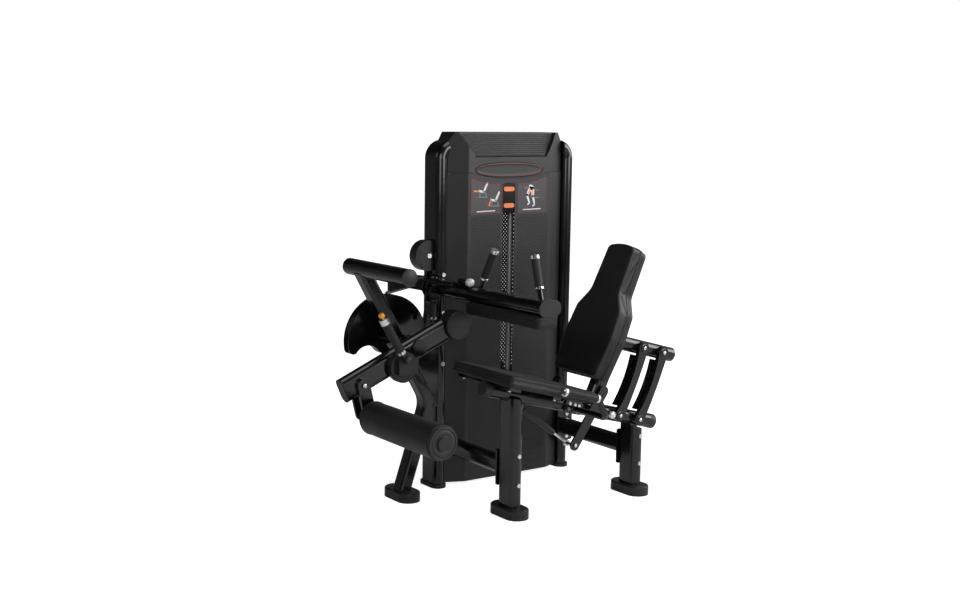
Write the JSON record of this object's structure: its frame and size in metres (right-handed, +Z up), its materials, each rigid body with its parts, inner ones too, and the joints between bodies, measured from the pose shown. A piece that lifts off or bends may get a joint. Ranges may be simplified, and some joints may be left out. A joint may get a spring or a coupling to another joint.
{
  "type": "leg extension machine",
  "caption": "Selectorised leg extension machine: sloping padded seat with linked adjustable backrest, swinging roller arm with start lever, thigh hold-down beam and covered weight tower.",
  "frame": {"origin": "centre of the outer box's footprint, on the floor under the machine", "axes": "+Z up; the user sits facing -X; the weight tower stands on the +Y side"},
  "size_m": [1.4596, 0.868, 1.5],
  "materials": {
    "frame_black": "gloss black powder coat",
    "cover_grey": "fine-grained dark grey moulded sheet",
    "hood_grey": "dark grey moulded plastic",
    "black_plastic": "moulded black plastic",
    "window_black": "gloss black plastic",
    "orange": "glossy orange plastic",
    "vinyl": "black grained upholstery vinyl",
    "board": "black stained plywood",
    "chrome": "polished chrome",
    "zinc": "bright zinc",
    "steel": "bright turned steel",
    "grip_rubber": "black ribbed rubber",
    "rubber": "black moulded rubber",
    "belt": "black reinforced belt",
    "plates": "black painted iron",
    "weight_disc": "black painted iron disc"
  },
  "bodies": {
    "frame": {"tower_frame": "frame_black", "feet": "rubber", "front_cover": "cover_grey", "rear_cover": "cover_grey", "hood": "hood_grey", "window_block": "window_black", "range_markers": "orange", "guide_rods": "chrome", "stack_bumpers": "rubber", "resting_plates": "plates", "belt_run": "belt", "belt_drop": "belt", "pulley_bolts": "zinc", "guard_housing": "black_plastic", "knee_frame": "frame_black", "stop_bracket": "frame_black", "beam_hinge": "frame_black", "frame_bolts": "zinc", "seat_legs": "frame_black", "floor_beams": "frame_black", "seat_rail": "frame_black", "rail_plugs": "black_plastic", "link_pins": "chrome", "seat_board": "board", "seat_pad": "vinyl", "seat_handles": "frame_black", "seat_grips": "grip_rubber"},
    "weight_carriage": {"lifted_plates": "plates", "selector_stem": "steel"},
    "selector_pin": {"selector_pin": "steel"},
    "top_pulley_left": {"top_pulley_left": "black_plastic"},
    "top_pulley_right": {"top_pulley_right": "black_plastic"},
    "guard_pulley": {"guard_pulley": "black_plastic"},
    "drive": {"cam": "frame_black", "drive_shaft": "frame_black"},
    "lever": {"lever_bar": "frame_black", "counterweight": "weight_disc", "lock_housing": "black_plastic", "roller_arm": "frame_black", "start_handle": "chrome", "start_grip": "grip_rubber"},
    "lock_pin": {"lock_pin": "steel"},
    "start_button": {"start_button": "orange"},
    "roller": {"roller_pad": "vinyl", "roller_core": "black_plastic"},
    "thigh_beam": {"thigh_beam": "frame_black", "thigh_pad": "vinyl", "beam_handles": "chrome", "beam_grips": "grip_rubber"},
    "beam_knob": {"beam_knob": "chrome"},
    "lock_handle": {"lock_handle": "steel"},
    "link_front": {"link_front": "frame_black"},
    "link_rear": {"link_rear": "frame_black"},
    "back": {"back_carrier": "frame_black", "backrest_pad": "vinyl", "backrest_board": "board"},
    "gas_cylinder": {"gas_cylinder": "black_plastic"},
    "gas_rod": {"gas_rod": "chrome"},
    "release_lever": {"release_lever": "frame_black"},
    "pop_pin": {"pop_pin": "black_plastic"}
  },
  "joints": [
    {"name": "drive_turn", "type": "hinge", "parent": "frame", "child": "drive", "pos_m": [-0.37831, 0.133, 0.655], "axis": [0, 1, 0], "range_deg": [0, 65]},
    {"name": "lever_set", "type": "hinge", "parent": "drive", "child": "lever", "pos_m": [-0.37831, 0.133, 0.655], "axis": [0, 1, 0], "range_deg": [-30, 0]},
    {"name": "roller_spin", "type": "hinge", "parent": "lever", "child": "roller", "pos_m": [-0.60531, -0.167, 0.407], "axis": [0, 1, 0], "continuous": true},
    {"name": "button_press", "type": "slide", "parent": "lever", "child": "start_button", "axis": [0.506, 0, -0.8626], "range_m": [0, 0.008], "stiffness_N_per_m": 500, "springref_m": -0.006},
    {"name": "lock_release", "type": "slide", "parent": "lever", "child": "lock_pin", "axis": [0, -1, 0], "range_m": [0, 0.008]},
    {"name": "weight_lift", "type": "slide", "parent": "frame", "child": "weight_carriage", "axis": [0, 0, 1], "range_m": [0, 0.20107], "deforming": ["belt_drop"]},
    {"name": "selector_pull", "type": "slide", "parent": "weight_carriage", "child": "selector_pin", "axis": [0, -1, 0], "range_m": [0, 0.08]},
    {"name": "pulley_left_turn", "type": "hinge", "parent": "frame", "child": "top_pulley_left", "pos_m": [-0.09471, 0.361, 1.34], "axis": [0, 1, 0], "range_deg": [-262.87, 0]},
    {"name": "pulley_right_turn", "type": "hinge", "parent": "frame", "child": "top_pulley_right", "pos_m": [0.15089, 0.361, 1.34], "axis": [0, 1, 0], "range_deg": [-262.87, 0]},
    {"name": "pulley_guard_turn", "type": "hinge", "parent": "frame", "child": "guard_pulley", "pos_m": [-0.18431, 0.361, 0.99], "axis": [0, 1, 0], "range_deg": [0, 251.42]},
    {"name": "beam_swing", "type": "hinge", "parent": "frame", "child": "thigh_beam", "pos_m": [-0.20131, 0.361, 0.888], "axis": [0, 1, 0], "range_deg": [-30, 4]},
    {"name": "knob_pull", "type": "slide", "parent": "thigh_beam", "child": "beam_knob", "axis": [0, -1, 0], "range_m": [0, 0.012], "stiffness_N_per_m": 500, "springref_m": -0.008},
    {"name": "latch_pull", "type": "slide", "parent": "frame", "child": "lock_handle", "axis": [0, 0, -1], "range_m": [0, 0.015], "stiffness_N_per_m": 800, "springref_m": -0.015},
    {"name": "carriage_front", "type": "hinge", "parent": "frame", "child": "link_front", "pos_m": [0.40101, -0.167, 0.34977], "axis": [0, 1, 0], "range_deg": [-10, 3]},
    {"name": "carriage_rear", "type": "hinge", "parent": "frame", "child": "link_rear", "pos_m": [0.51204, -0.167, 0.31981], "axis": [0, 1, 0], "range_deg": [-10, 3]},
    {"name": "back_tilt", "type": "hinge", "parent": "link_front", "child": "back", "pos_m": [0.52501, -0.167, 0.62177], "axis": [0, 1, 0], "range_deg": [-3, 10]},
    {"name": "gas_swing", "type": "hinge", "parent": "frame", "child": "gas_cylinder", "pos_m": [-0.08111, -0.167, 0.4322], "axis": [0, 1, 0], "range_deg": [-0.89, 2.93]},
    {"name": "gas_extend", "type": "slide", "parent": "gas_cylinder", "child": "gas_rod", "axis": [0.8116, 0, -0.5842], "range_m": [-0.05031, 0.01523]},
    {"name": "release_pull", "type": "hinge", "parent": "frame", "child": "release_lever", "pos_m": [0.18219, -0.077, 0.4409], "axis": [0, 1, 0], "range_deg": [0, 20], "stiffness_Nm_per_rad": 2, "springref_deg": -28.65},
    {"name": "pop_pin_pull", "type": "slide", "parent": "frame", "child": "pop_pin", "axis": [0, -1, 0], "range_m": [0, 0.012], "stiffness_N_per_m": 500, "springref_m": -0.008}
  ],
  "couplings": [
    {"joint": "weight_lift", "follows": "drive_turn", "m_per_rad": 0.1768},
    {"joint": "pulley_left_turn", "follows": "drive_turn", "ratio": -4.0365},
    {"joint": "pulley_right_turn", "follows": "drive_turn", "ratio": -4.0365},
    {"joint": "pulley_guard_turn", "follows": "drive_turn", "ratio": 3.8603},
    {"joint": "lock_release", "follows": "button_press", "ratio": 1},
    {"joint": "back_tilt", "follows": "carriage_front", "ratio": -1},
    {"joint": "carriage_rear", "follows": "carriage_front", "ratio": 1},
    {"joint": "gas_swing", "follows": "carriage_front", "ratio": -0.29064},
    {"joint": "gas_extend", "follows": "carriage_front", "m_per_rad": 0.28711}
  ]
}
